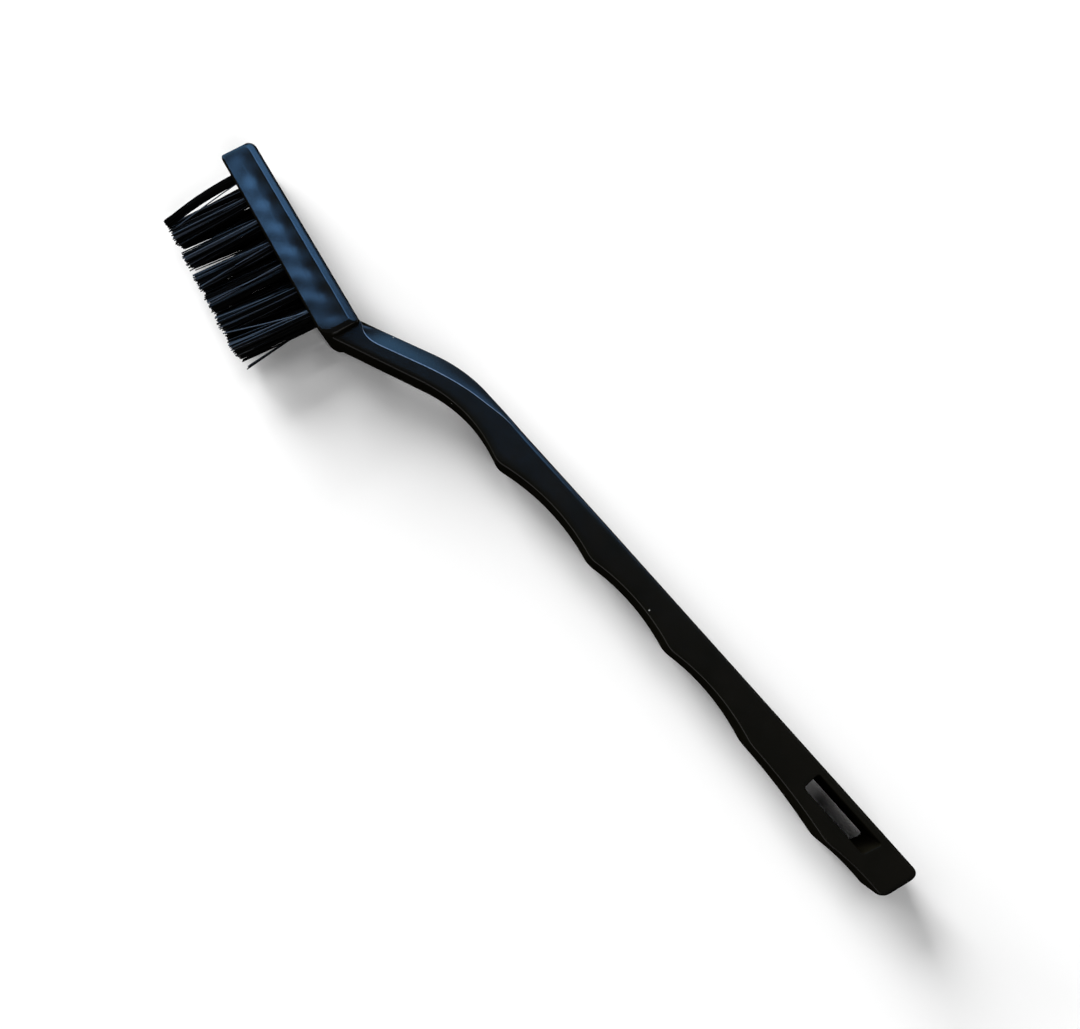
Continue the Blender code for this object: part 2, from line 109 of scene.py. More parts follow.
# finer than in the CAD: a crisper front edge, and how each edge turns from its wall to the
# side, as pairs of the drop from the side in millimetres and the share of the round
BLOCK_ROUND_FRONT = 0.5 * MM
BACK_EDGE = ((1.2, 0.0), (0.9, 0.02), (0.7, 0.05), (0.5, 0.11), (0.38, 0.19), (0.03, 0.93), (0.0, 1.0))
END_EDGE = ((1.2, 0.0), (0.9, 0.03), (0.6, 0.08), (0.35, 0.17), (0.2, 0.27), (0.03, 0.93), (0.0, 1.0))
FRONT_EDGE = ((1.2, 0.0), (0.85, 0.06), (0.5, 0.24), (0.25, 0.47), (0.08, 0.75), (0.0, 1.0))
EDGE_DROPS = (1.2, 1.05, 0.9, 0.8, 0.7, 0.6, 0.5, 0.44, 0.38, 0.3, 0.2, 0.11, 0.03, 0.0)

# Hang slot
SLOT_LENGTH = 14.8 * MM
SLOT_WIDTH = 3.35 * MM
SLOT_FROM_BUTT = 7.7 * MM
SLOT_BUTT_END_SLANT = radians(16.5)
SLOT_FROM_BACK = 1.5 * MM
SLOT_CORNER_RADIUS = 0.5 * MM
SLOT_RIM_ROUND = 0.2 * MM

# Tufts and anchors
TUFT_PITCH = 5.22 * MM
TUFT_ROW_SPACING = 2.1 * MM
TUFT_TIP_MARGIN = 3.7 * MM
OUTER_ROW_TUFTS = 7
HOLE_DIAMETER = 2.4 * MM
HOLE_DEPTH = 4.8 * MM
HOLE_CLEARANCE = 0.1 * MM
BRISTLE_LENGTH = 15.05 * MM
TRIM_RISE = 0.5 * MM
NECK_TUFT_LEAN = -2.0 * MM
ANCHOR_SIZE = (2.8 * MM, 1.4 * MM, 0.3 * MM)
ANCHOR_CLEARANCE = 0.1 * MM
ANCHOR_FROM_ROOT_END = 0.9 * MM

# Moulded surface: how far the block's side tilts away from the bristles, how much more so
# at the neck, the drop of its edges at the tip and at the neck, and its sink
BLOCK_SIDE_TILT = 0.027
BLOCK_SIDE_TWIST = 0.65
BLOCK_EDGE_STEEPER = (0.85, 1.2)
BLOCK_SINK = 0.05 * MM
# a mark beside each hole: a dip, as depth, place down the side and reach, and a swell
# towards the bristles, as height, start and end down the side
HOLE_MARK_SHIFT = -1.0 * MM
HOLE_MARK_HALF_WIDTH = 1.55 * MM
ROW_END_MARK = 0.4
HOLE_DIP = (0.10 * MM, 2.9 * MM, 1.9 * MM)
HOLE_SWELL = (0.07 * MM, 3.2 * MM, 6.6 * MM)
# the parting line of the mould
PARTING_HEIGHT = 0.05 * MM
PARTING_WIDTH = 0.16 * MM
# gloss of the walls as a share of that of the flat sides, paleness and width of the painted highlight
# with slight wear on the crisp edges
WALL_GLOSS = 0.3
SLOT_WALL_GLOSS = 0.05
BLOCK_EDGE_HIGHLIGHT = 0.25
HIGHLIGHT_REACH = 0.02 * MM
# the crease between neck and block: least angle, and how far the smoothing reaches
CREASE_ANGLE = radians(18.0)
CREASE_REACH = 3.0 * MM
CREASE_RING = 0.7 * MM

ACROSS = Vector((0.0, 0.0, 1.0))


def smoothstep(value, start, end):
    t = min(max((value - start) / (end - start), 0.0), 1.0)
    return t * t * (3.0 - 2.0 * t)


def blend(low, high, t):
    return low + (high - low) * t


def corner_drop(distance, radius):
    """How far a rounded corner has fallen away at a distance from the end."""
    if distance >= radius:
        return 0.0
    return radius - sqrt(radius * radius - (radius - distance) ** 2)


# Side outline of the grip and neck

RIDGES = [(HEEL_LENGTH + BUTT_DEPTH * tan(BUTT_SLANT), HEEL_RIDGE_DEPTH)]
for groove_length, ridge_depth, groove_rise in GROOVES:
    RIDGES.append((RIDGES[-1][0] + groove_length, ridge_depth))
THUMB_RIDGE = RIDGES[-1]
BEND_START = THUMB_RIDGE[0] + BEND_SETBACK
BEND_END = BEND_START + BEND_RADIUS * sin(NECK_ANGLE)
BEND_FALL = BEND_RADIUS * (1.0 - cos(NECK_ANGLE))
NECK_END = BEND_END + NECK_STRAIGHT * cos(NECK_ANGLE)
NECK_DROP = NECK_DEPTH / cos(NECK_ANGLE)
NECK_UNDERSIDE_START = BEND_END - NECK_DEPTH * sin(NECK_ANGLE)


def back_height(station):
    if station <= BEND_START:
        return 0.0
    if station <= BEND_END:
        run = station - BEND_START
        return sqrt(BEND_RADIUS ** 2 - run ** 2) - BEND_RADIUS
    return -BEND_FALL - (station - BEND_END) * tan(NECK_ANGLE)


def neck_underside(station):
    return -BEND_FALL - NECK_DROP - (station - BEND_END) * tan(NECK_UNDERSIDE_ANGLE)


def groove_floor(station, start, end, rise):
    t = (station - start[0]) / (end[0] - start[0])
    return -blend(start[1], end[1], t) + 4.0 * rise * t * (1.0 - t)


def thumb_hollow(station):
    """A smooth curve from the thumb ridge into the underside of the neck."""
    length = NECK_UNDERSIDE_START - THUMB_RIDGE[0]
    t = (station - THUMB_RIDGE[0]) / length
    start = -THUMB_RIDGE[1]
    end = neck_underside(NECK_UNDERSIDE_START)
    leave = THUMB_RIDGE_SLOPE * length
    arrive = -tan(NECK_UNDERSIDE_ANGLE) * length
    return ((2 * t ** 3 - 3 * t ** 2 + 1) * start + (t ** 3 - 2 * t ** 2 + t) * leave
            + (3 * t ** 2 - 2 * t ** 3) * end + (t ** 3 - t ** 2) * arrive)


def underside_curve(station):
    if station > NECK_UNDERSIDE_START:
        return neck_underside(station)
    if station > THUMB_RIDGE[0]:
        return thumb_hollow(station)
    for index, groove in enumerate(GROOVES):
        if station > RIDGES[index][0]:
            start, end, rise = RIDGES[index], RIDGES[index + 1], groove[2]
        elif index == 0:
            butt = (BUTT_DEPTH * tan(BUTT_SLANT), BUTT_DEPTH)
            start, end, rise = butt, RIDGES[0], HEEL_RISE
    return groove_floor(station, start, end, rise)


def underside_height(station):
    for ridge, depth in RIDGES:
        if abs(station - ridge) < RIDGE_ROUND:
            t = (station - ridge + RIDGE_ROUND) / (2.0 * RIDGE_ROUND)
            before = underside_curve(ridge - RIDGE_ROUND)
            after = underside_curve(ridge + RIDGE_ROUND)
            return (1 - t) ** 2 * before - 2 * t * (1 - t) * depth + t ** 2 * after
    return underside_curve(station)


def half_width(station):
    swell = smoothstep(station, BEND_END - BEND_SETBACK, RIDGES[-2][0])
    return blend(NECK_WIDTH, GRIP_WIDTH, swell) / 2.0


def back_edge(station):
    """Width, drop and roundness of the edge between the back and a side."""
    neck = smoothstep(station, BEND_END - NECK_FACET_RUN_OUT, BEND_END)
    to_root = min(max((NECK_END - station) / NECK_FACET_ROOT_LENGTH, 0.0), 1.0)
    opened = 1.0 - (1.0 - to_root) ** 3
    facet = blend(NECK_FACET_ROOT_WIDTH, NECK_FACET_WIDTH * neck, opened)
    facet_drop = NECK_FACET_DROP * neck * blend(0.85, 1.0, opened)
    crisp = smoothstep(neck, 0.0, 0.3)
    width = blend(GRIP_EDGE_ROUND, facet, crisp)
    drop = blend(GRIP_EDGE_ROUND, facet_drop, crisp)
    return width, drop, blend(1.0, 0.12, crisp)


def parting_profile(half):
    """Places across a flat strip, with the raised parting line in its middle."""
    ridge = ((half, 0.0), (half * 0.5, 0.0), (PARTING_WIDTH, 0.0),
             (PARTING_WIDTH * 0.5, PARTING_HEIGHT * 0.75))
    return list(ridge) + [(0.0, PARTING_HEIGHT)] + [(-z, lift) for z, lift in reversed(ridge)]


CORNER_ROWS = (0.05, 0.13, 0.25, 0.4, 0.55, 0.7, 0.83, 0.95, 1.0)
FACET_LINE = 0.12 * MM


def grip_section(back, under, half, edge, parting):
    """Closed ring round the grip: back strip, side, underside strip, other side."""
    width, drop, roundness = edge
    down = (under - back).normalized()
    edge_steps = 8
    side_steps = 5
    corner = []
    for t in CORNER_ROWS:
        angle = t * pi / 2.0
        fall = blend(t, 1.0 - cos(angle), roundness) * width
        out = half - drop + blend(t, sin(angle), roundness) * drop
        corner.append((fall, out))
    depth = (under - back).length
    low_start = depth - UNDERSIDE_ROUND_IN
    side = [(width + FACET_LINE, half)]
    side += [(blend(width, low_start, i / side_steps), half) for i in range(1, side_steps)]
    low = []
    for step in range(edge_steps):
        angle = step / edge_steps * pi / 2.0
        rise = (1.0 - sin(angle)) * UNDERSIDE_ROUND_IN
        out = half - (1.0 - cos(angle)) * UNDERSIDE_ROUND_DOWN
        low.append((depth - rise, out))
    back_strip = [(-lift * parting, z) for z, lift in parting_profile(half - drop)]
    under_half = half - UNDERSIDE_ROUND_DOWN
    under_strip = [(depth + lift * parting, z) for z, lift in parting_profile(under_half)]
    one_side = corner + side + low
    ring = one_side + under_strip + [(fall, -z) for fall, z in reversed(one_side)]
    ring += list(reversed(back_strip))
    return [back + down * fall + ACROSS * z for fall, z in ring]


def butt_slant(station):
    return tan(BUTT_SLANT) * (1.0 - smoothstep(station, 0.0, HEEL_LENGTH - RIDGE_ROUND))


def grip_stations():
    ends = max(BUTT_BACK_RADIUS, BUTT_UNDER_RADIUS)
    end_steps = 12
    stations = [ends * (1.0 - cos(i * pi / (2.0 * end_steps))) for i in range(end_steps + 1)]
    spacing = 0.55 * MM
    last = NECK_END + NECK_SINK
    count = int((last - ends) / spacing)
    stations += [blend(ends, last, i / count) for i in range(1, count + 1)]
    return stations


def skin_rings(bm, rings):
    """Join equal closed rings of points into one capped skin."""
    loops = [[bm.verts.new(point) for point in ring] for ring in rings]
    count = len(loops[0])
    for near, far in zip(loops, loops[1:]):
        for i in range(count):
            j = (i + 1) % count
            bm.faces.new((near[i], near[j], far[j], far[i]))
    bm.faces.new(loops[0][::-1])
    bm.faces.new(loops[-1])


def grip_ring(station):
    slant = butt_slant(station)
    under_station = station + slant * -underside_height(station + slant * BUTT_DEPTH)
    back = Vector((-station, back_height(station), 0.0))
    under = Vector((-under_station, underside_height(under_station), 0.0))
    down = (under - back).normalized()
    back += down * corner_drop(station, BUTT_BACK_RADIUS)
    under -= down * corner_drop(station, BUTT_UNDER_RADIUS)
    half = half_width(station) - corner_drop(station, GRIP_EDGE_ROUND)
    parting = smoothstep(station, 0.3 * BUTT_BACK_RADIUS, BUTT_BACK_RADIUS)
    return grip_section(back, under, half, back_edge(station), parting)


def build_grip(bm):
    skin_rings(bm, [grip_ring(station) for station in grip_stations()])


# Tuft block, in its own frame: along runs from the tip to the neck, and
# down runs from the back of the block towards the bristles

BLOCK_CORNER = Vector((-NECK_END, back_height(NECK_END) - BLOCK_STEP, 0.0))
BLOCK_ALONG = Vector((cos(BLOCK_ANGLE), -sin(BLOCK_ANGLE), 0.0))
BLOCK_DOWN = Vector((-sin(BLOCK_ANGLE), -cos(BLOCK_ANGLE), 0.0))


def block_point(along, down, across):
    return BLOCK_CORNER + BLOCK_ALONG * along + BLOCK_DOWN * down + ACROSS * across


def from_tip(along):
    """Share of the block's length between its tip and a place along it."""
    return 1.0 + along / BLOCK_LENGTH


def tuft_places():
    """Row, number and position of every tuft, from the tip to the neck."""
    places = []
    first = -BLOCK_LENGTH + TUFT_TIP_MARGIN
    for row, (letter, shift) in enumerate((("a", 0.0), ("b", 0.5), ("c", 0.0))):
        count = OUTER_ROW_TUFTS if shift == 0.0 else OUTER_ROW_TUFTS - 1
        for column in range(count):
            along = first + (column + shift) * TUFT_PITCH
            places.append((letter + str(column + 1), along, (1 - row) * TUFT_ROW_SPACING))
    return places


def block_outline(inset, steps=8, edge_points=(96, 18)):
    """The block seen from its side, drawn in by an inset in metres on each edge."""
    back, front, ends = inset
    low_along, high_along = -BLOCK_LENGTH + ends, -ends
    low_down, high_down = back, BLOCK_THICKNESS - front
    half = min(high_along - low_along, high_down - low_down) / 2.0
    draw_in = max(back, front, ends)
    corners = (
        (high_along, low_down, -pi / 2, BLOCK_NECK_BACK_RADIUS),
        (high_along, high_down, 0.0, BLOCK_NECK_FRONT_RADIUS),
        (low_along, high_down, pi / 2, BLOCK_TIP_FRONT_RADIUS),
        (low_along, low_down, pi, BLOCK_TIP_BACK_RADIUS),
    )
    arcs = []
    for x, y, start, radius in corners:
        radius = min(max(radius - draw_in * 0.6, radius * 0.45), half)
        centre_x = x - radius if x == high_along else x + radius
        centre_y = y - radius if y == high_down else y + radius
        arcs.append([(centre_x + radius * cos(start + s / steps * pi / 2),
                      centre_y + radius * sin(start + s / steps * pi / 2))
                     for s in range(steps + 1)])
    points = []
    for index, arc in enumerate(arcs):
        points += arc
        following = arcs[(index + 1) % 4][0]
        count = edge_points[0] if index % 2 else edge_points[1]
        points += [(blend(arc[-1][0], following[0], i / count),
                    blend(arc[-1][1], following[1], i / count)) for i in range(1, count)]
    return points


def side_relief(along, down):
    """Sink of the cooled plastic, with a dip at the end of each hole and a swell over it."""
    flat_depth = BLOCK_THICKNESS - BLOCK_ROUND_BACK - BLOCK_ROUND_FRONT
    v = min(max((down - BLOCK_ROUND_BACK) / flat_depth, 0.0), 1.0)
    from_ends = min(-along, along + BLOCK_LENGTH) - BLOCK_ROUND_ENDS
    bowl = 4.0 * v * (1.0 - v) * smoothstep(from_ends, 0.0, 2.5 * MM)
    first = -BLOCK_LENGTH + TUFT_TIP_MARGIN + HOLE_MARK_SHIFT
    mark = 0.0
    for column in range(OUTER_ROW_TUFTS + 1):
        run = (along - first - column * TUFT_PITCH) / HOLE_MARK_HALF_WIDTH
        strength = ROW_END_MARK if column in (0, OUTER_ROW_TUFTS) else 1.0
        mark += strength * exp(-run * run)
    dip_depth, dip_place, dip_reach = HOLE_DIP
    from_dip = (down - dip_place) / dip_reach
    dip = dip_depth * mark * exp(-from_dip * from_dip) * sqrt(bowl)
    swell_height, swell_start, swell_end = HOLE_SWELL
    swell = swell_height * mark * smoothstep(down, swell_start, swell_end)
    twist = 1.0 + BLOCK_SIDE_TWIST * from_tip(along)
    tilt = BLOCK_SIDE_TILT * twist * (BLOCK_THICKNESS - down)
    return -tilt - BLOCK_SINK * bowl - dip - (swell_height - swell)


def edge_share(profile, drop):
    """Share of an edge's round that its profile has covered at a drop in millimetres."""
    for (high_drop, low_share), (low_drop, high_share) in zip(profile, profile[1:]):
        if drop >= low_drop:
            return blend(high_share, low_share, (drop - low_drop) / (high_drop - low_drop))
    return 1.0


def side_point(along, down, drop):
    """A point of the block's moulded side, or of its edge at a drop below the side."""
    across = BLOCK_WIDTH / 2 - drop * blend(*BLOCK_EDGE_STEEPER, from_tip(along))
    taper = BLOCK_BACK_TAPER * (-along / BLOCK_LENGTH) * (1.0 - down / BLOCK_THICKNESS)
    return block_point(along, down + taper, across + side_relief(along, down))


def build_block(bm):
    """Nested outlines: the wall, the edge, then the side in to its middle."""
    levels = []
    for drop in EDGE_DROPS:
        inset = (BLOCK_ROUND_BACK * edge_share(BACK_EDGE, drop),
                 BLOCK_ROUND_FRONT * edge_share(FRONT_EDGE, drop),
                 BLOCK_ROUND_ENDS * edge_share(END_EDGE, drop))
        levels.append((inset, drop * MM))
    flat_depth = BLOCK_THICKNESS - BLOCK_ROUND_BACK - BLOCK_ROUND_FRONT
    side_steps = 12
    for step in range(side_steps + 1):
        # from just inside the edge to just short of the middle
        more = max(flat_depth / 2 * step / side_steps * 0.995, 0.08 * MM)
        inset = (BLOCK_ROUND_BACK + more, BLOCK_ROUND_FRONT + more, BLOCK_ROUND_ENDS + more)
        levels.append((inset, 0.0))
    upper = [[side_point(along, down, drop) for along, down in block_outline(inset)]
             for inset, drop in levels]
    wall = [[Vector((p.x, p.y, p.z * share)) for p in upper[0]] for share in (0.5, 0.0)]
    lower = [[Vector((p.x, p.y, -p.z)) for p in ring] for ring in upper]
    lower_wall = [[Vector((p.x, p.y, -p.z)) for p in wall[0]]]
    skin_rings(bm, list(reversed(upper)) + wall + lower_wall + lower)


def highlit_edge_points():
    """Points along the crisp edges that get a painted highlight with slight wear, and how pale."""
    points = []
    for station in grip_stations():
        crisp = smoothstep(1.0 - back_edge(station)[2], 0.2, 0.8)
        if crisp > 0.0:
            points.append((grip_ring(station)[len(CORNER_ROWS) - 1], crisp))
    for along, down in block_outline((BLOCK_ROUND_BACK, BLOCK_ROUND_FRONT, BLOCK_ROUND_ENDS)):
        if down < BLOCK_ROUND_BACK + 0.01 * MM:
            points.append((side_point(along, down, 0.0), BLOCK_EDGE_HIGHLIGHT))
    return points


def on_slot_wall(point):
    """Whether a point of the handle lies in the slot or on its rounded rim."""
    grow = SLOT_RIM_ROUND
    return (-SLOT_FROM_BUTT - SLOT_LENGTH - grow < point.x < -SLOT_FROM_BUTT + grow
            and -SLOT_FROM_BACK - SLOT_WIDTH - grow < point.y < -SLOT_FROM_BACK + grow
            and abs(point.z) < GRIP_WIDTH / 2 - 0.005 * MM)


def mark_matt_walls(obj):
    """The walls drag on the mould and come out duller, those of the slot most."""
    attribute = obj.data.attributes.new("wall_gloss", "FLOAT", "POINT")
    for vertex, item in zip(obj.data.vertices, attribute.data):
        gloss = blend(WALL_GLOSS, 1.0, smoothstep(abs(vertex.normal.z), 0.45, 0.85))
        item.value = SLOT_WALL_GLOSS if on_slot_wall(vertex.co) else gloss


def mark_highlit_edges(obj):
    """Mark the vertices that lie on a crisp edge with painted highlight and slight wear, on either side
    of the brush.
    """
    points = highlit_edge_points()
    finder = KDTree(len(points))
    for index, (point, pale) in enumerate(points):
        finder.insert(point, index)
    finder.balance()
    attribute = obj.data.attributes.new("edge_highlight_and_wear", "FLOAT", "POINT")
    for vertex, item in zip(obj.data.vertices, attribute.data):
        across = abs(vertex.co.z)
        point, index, distance = finder.find((vertex.co.x, vertex.co.y, across))
        item.value = points[index][1] if distance < HIGHLIGHT_REACH else 0.0


def rounded_outline(low, high, radius, steps):
    corners = ((high[0], low[1], -pi / 2), (high[0], high[1], 0.0),
               (low[0], high[1], pi / 2), (low[0], low[1], pi))
    points = []
    for x, y, start in corners:
        centre_x = x - radius if x == high[0] else x + radius
        centre_y = y - radius if y == high[1] else y + radius
        for step in range(steps + 1):
            angle = start + step / steps * pi / 2
            points.append((centre_x + radius * cos(angle), centre_y + radius * sin(angle)))
    return points


def build_slot(bm):
    """The hang slot, with its rim rounded over on both sides."""
    steps = 5
    levels = [(GRIP_WIDTH / 2 + SLOT_RIM_ROUND, SLOT_RIM_ROUND)]
    for step in range(steps + 1):
        angle = step / steps * pi / 2
        levels.append((GRIP_WIDTH / 2 - SLOT_RIM_ROUND * (1 - cos(angle)),
                       SLOT_RIM_ROUND * (1 - sin(angle))))
    levels += [(-across, grow) for across, grow in reversed(levels)]
    rings = []
    for across, grow in levels:
        low = (-SLOT_FROM_BUTT - SLOT_LENGTH - grow, -SLOT_FROM_BACK - SLOT_WIDTH - grow)
        high = (-SLOT_FROM_BUTT + grow, -SLOT_FROM_BACK + grow)
        ring = []
        for x, y in rounded_outline(low, high, SLOT_CORNER_RADIUS + grow, 6):
            near_butt = (x - low[0]) / (high[0] - low[0])
            slant = near_butt * (y + SLOT_FROM_BACK) * tan(SLOT_BUTT_END_SLANT)
            ring.append(Vector((x + slant, y, across)))
        rings.append(ring)
    skin_rings(bm, rings)


HOLE_FLOOR = BLOCK_THICKNESS - HOLE_DEPTH
ROOT_END = HOLE_FLOOR + HOLE_CLEARANCE
ANCHOR_CENTRE = ROOT_END + ANCHOR_FROM_ROOT_END + ANCHOR_SIZE[1] / 2


def build_holes(bm):
    sides = 24
    for name, along, across in tuft_places():
        rings = []
        for level in (HOLE_FLOOR, BLOCK_THICKNESS + HOLE_DEPTH / 4):
            rings.append([block_point(along + HOLE_DIAMETER / 2 * cos(2 * pi * i / sides), level,
                                      across + HOLE_DIAMETER / 2 * sin(2 * pi * i / sides))
                          for i in range(sides)])
        skin_rings(bm, rings)


def build_anchor_space(bm):
    for name, along, across in tuft_places():
        rings = []
        for side in (-1, 1):
            down = ANCHOR_CENTRE + side * (ANCHOR_SIZE[1] / 2 + ANCHOR_CLEARANCE)
            half_along = ANCHOR_SIZE[0] / 2 + ANCHOR_CLEARANCE
            half_across = ANCHOR_SIZE[2] / 2 + ANCHOR_CLEARANCE
            corners = ((-1, -1), (1, -1), (1, 1), (-1, 1))
            rings.append([block_point(along + a * half_along, down, across + b * half_across)
                          for a, b in corners])
        skin_rings(bm, rings)


def add_to_scene(name, data):
    obj = bpy.data.objects.new(name, data)
    bpy.context.collection.objects.link(obj)
    return obj


def form(name, build):
    """A plain mesh object filled by build(bm)."""
    mesh = bpy.data.meshes.new(name)
    bm = bmesh.new()
    build(bm)
    bmesh.ops.remove_doubles(bm, verts=bm.verts, dist=0.0001 * MM)
    bmesh.ops.recalc_face_normals(bm, faces=bm.faces)
    bm.to_mesh(mesh)
    bm.free()
    return add_to_scene(name, mesh)


def baked(obj):
    """The object's mesh with its modifiers worked in, and the modifiers gone."""
    depsgraph = bpy.context.evaluated_depsgraph_get()
    mesh = bpy.data.meshes.new_from_object(obj.evaluated_get(depsgraph))
    obj.modifiers.clear()
    obj.data = mesh
    return obj


def combined(obj, tools):
    """Add each tool's form to the object or cut it away, then drop the tools."""
    for tool, operation in tools:
        modifier = obj.modifiers.new(operation.lower(), "BOOLEAN")
        modifier.operation = operation
        modifier.solver = "EXACT"
        modifier.object = tool
    baked(obj)
    for tool, operation in tools:
        bpy.data.objects.remove(tool, do_unlink=True)
    return obj


def soften_neck_joint(obj):
    """Relax the crease where the neck runs into the block, as the mould's fillet does."""
    bm = bmesh.new()
    bm.from_mesh(obj.data)
    near = []
    for edge in bm.edges:
        if len(edge.link_faces) == 2 and edge.calc_face_angle_signed(0.0) < -CREASE_ANGLE:
            middle = (edge.verts[0].co + edge.verts[1].co) / 2
            if abs(middle.x + NECK_END) < CREASE_REACH:
                near += edge.verts
    ring = set(near)
    for vert in near:
        ring.update(edge.other_vert(vert) for edge in vert.link_edges
                    if edge.calc_length() < CREASE_RING)
    bmesh.ops.smooth_vert(bm, verts=list(ring), factor=0.5,
                          use_axis_x=True, use_axis_y=True, use_axis_z=True)
    bm.to_mesh(obj.data)
    bm.free()


class Nodes:
    """A small helper for adding and wiring nodes, in a material or in a node group."""

    def __init__(self, tree):
        self.tree = tree

    def node(self, kind, inputs=(), **settings):
        """Add a node. An input given as a socket is linked, and any other is set."""
        node = self.tree.nodes.new(kind)
        for key, value in settings.items():
            setattr(node, key, value)
        for key, value in dict(inputs).items():
            if isinstance(value, bpy.types.NodeSocket):
                self.tree.links.new(value, node.inputs[key])
            else:
                node.inputs[key].default_value = value
        return node

    def math(self, operation, first, second=0.0, third=0.0):
        node = self.node("ShaderNodeMath", {0: first, 1: second, 2: third}, operation=operation)
        return node.outputs[0]

    def ranged(self, value, before, after, interpolation="LINEAR"):
        """The value carried from one range, as (low, high), to another."""
        node = self.node("ShaderNodeMapRange",
                         {"Value": value, "From Min": before[0], "From Max": before[1],
                          "To Min": after[0], "To Max": after[1]},
                         interpolation_type=interpolation)
        return node.outputs[0]


class Finish(Nodes):
    """A procedural material, read in the object's own coordinates."""

    def __init__(self, name):
        self.material = bpy.data.materials.new(name)
        self.material.use_nodes = True
        super().__init__(self.material.node_tree)
        self.shader = self.tree.nodes["Principled BSDF"]

    def place(self):
        return self.node("ShaderNodeTexCoord").outputs["Object"]

    def attribute(self, name):
        return self.node("ShaderNodeAttribute", attribute_name=name).outputs["Fac"]

    def noise(self, place, scale, detail, roughness=0.5):
        node = self.node("ShaderNodeTexNoise", {"Vector": place, "Scale": scale, "Detail": detail,
                                                "Roughness": roughness})
        return node.outputs["Fac"]

    def ramp(self, value, *stops):
        """A colour from two stops, each a position and a colour."""
        node = self.node("ShaderNodeValToRGB", {"Fac": value})
        for element, (position, colour) in zip(node.color_ramp.elements, stops):
            element.position = position
            element.color = colour
        return node.outputs["Color"]

    def mixed(self, share, first, second):
        node = self.node("ShaderNodeMix", {"Factor": share, 6: first, 7: second}, data_type="RGBA")
        return node.outputs[2]

    def bump(self, height, strength, distance):
        node = self.node("ShaderNodeBump",
                         {"Strength": strength, "Distance": distance, "Height": height})
        return node.outputs["Normal"]

    def give(self, name, value):
        """Give the shader a number, a colour or the output of a node."""
        if isinstance(value, bpy.types.NodeSocket):
            self.tree.links.new(value, self.shader.inputs[name])
        else:
            self.shader.inputs[name].default_value = value

    def give_gloss(self, level):
        """Grain seen edge on stops shining: the gloss fades out towards grazing views."""
        facing = self.node("ShaderNodeLayerWeight", {"Blend": 0.5}).outputs["Facing"]
        self.give("Specular IOR Level", self.ranged(facing, GLOSS_FADE, (level, 0.0), "SMOOTHSTEP"))


# Linear red, green, blue and alpha
DEEP_PLASTIC = (0.0030, 0.0029, 0.0018, 1.0)
HAZY_PLASTIC = (0.0050, 0.0044, 0.0031, 1.0)
DUST = (0.32, 0.33, 0.32, 1.0)
# pale bluish colour of the painted highlight, with slight wear, on the crisp edges
HIGHLIT_EDGE_PLASTIC = (0.17, 0.20, 0.25, 1.0)
DEEP_NYLON = (0.0020, 0.0020, 0.0020, 1.0)
# pale bluish colour of the palest strands: dust and a painted highlight
HAZY_NYLON = (0.0046, 0.0046, 0.0046, 1.0)
DUST_AND_HIGHLIGHT_NYLON = (0.052, 0.066, 0.090, 1.0)
DARK_STEEL = (0.38, 0.38, 0.39, 1.0)
BRIGHT_STEEL = (0.62, 0.62, 0.63, 1.0)
WHITE = (1.0, 1.0, 1.0, 1.0)

# Shares of the way from a square view to a grazing one, between which the gloss fades
GLOSS_FADE = (0.28, 0.40)


def moulded_plastic():
    """Black semi-gloss plastic: fine mould grain, handling haze, a little dust, and a painted highlight
    with slight wear on the crisp edges.
    """
    finish = Finish("moulded_plastic")
    place = finish.place()
    plain = finish.ramp(finish.noise(place, 180.0, 4.0), (0.3, DEEP_PLASTIC), (0.75, HAZY_PLASTIC))

    # one cell in a hundred has a speck of dust in its middle
    cells = finish.node("ShaderNodeTexVoronoi", {"Vector": place, "Scale": 900.0, "Randomness": 1.0})
    lot = finish.node("ShaderNodeSeparateColor", {"Color": cells.outputs["Color"]}).outputs["Red"]
    chosen = finish.math("GREATER_THAN", lot, 0.990)
    middle = finish.math("LESS_THAN", cells.outputs["Distance"], 0.12)
    dusty = finish.mixed(finish.math("MULTIPLY", chosen, middle), plain, DUST)

    # painted highlight with slight wear: pale and bluish along the crisp edges, broken up along their
    # length
    breaks = finish.ranged(finish.noise(place, 1400.0, 2.0), (0.3, 0.7), (0.4, 1.0))
    edge_highlight_share = finish.math("POWER", finish.attribute("edge_highlight_and_wear"), 1.6)
    finish.give("Base Color", finish.mixed(finish.math("MULTIPLY", edge_highlight_share, breaks), dusty, HIGHLIT_EDGE_PLASTIC))

    haze = finish.noise(place, 420.0, 6.0, 0.65)
    finish.give("Roughness", finish.ranged(haze, (0.0, 1.0), (0.18, 0.29)))
    finish.give("Normal", finish.bump(finish.noise(place, 6500.0, 3.0), 0.10, 0.03 * MM))
    finish.give_gloss(finish.math("MULTIPLY", finish.attribute("wall_gloss"), 0.5))
    return finish.material


def black_nylon():
    """Drawn black filament. Some strands shine, most are dull, and the palest carry dust and a painted
    bluish highlight.
    """
    finish = Finish("black_nylon_filament")
    strand = finish.attribute("strand_tone")
    haze = finish.noise(finish.place(), 900.0, 2.0)
    plain = finish.ramp(haze, (0.0, DEEP_NYLON), (1.0, HAZY_NYLON))
    # the palest strands get a pale bluish colour: dust and a painted highlight
    dust_and_highlight = finish.ranged(strand, (0.64, 0.90), (0.0, 1.0))
    finish.give("Base Color", finish.mixed(dust_and_highlight, plain, DUST_AND_HIGHLIGHT_NYLON))
    finish.give("Roughness", finish.ranged(haze, (0.0, 1.0), (0.16, 0.28)))
    finish.give_gloss(finish.ranged(strand, (0.57, 0.76), (0.03, 1.0), "SMOOTHSTEP"))
    return finish.material


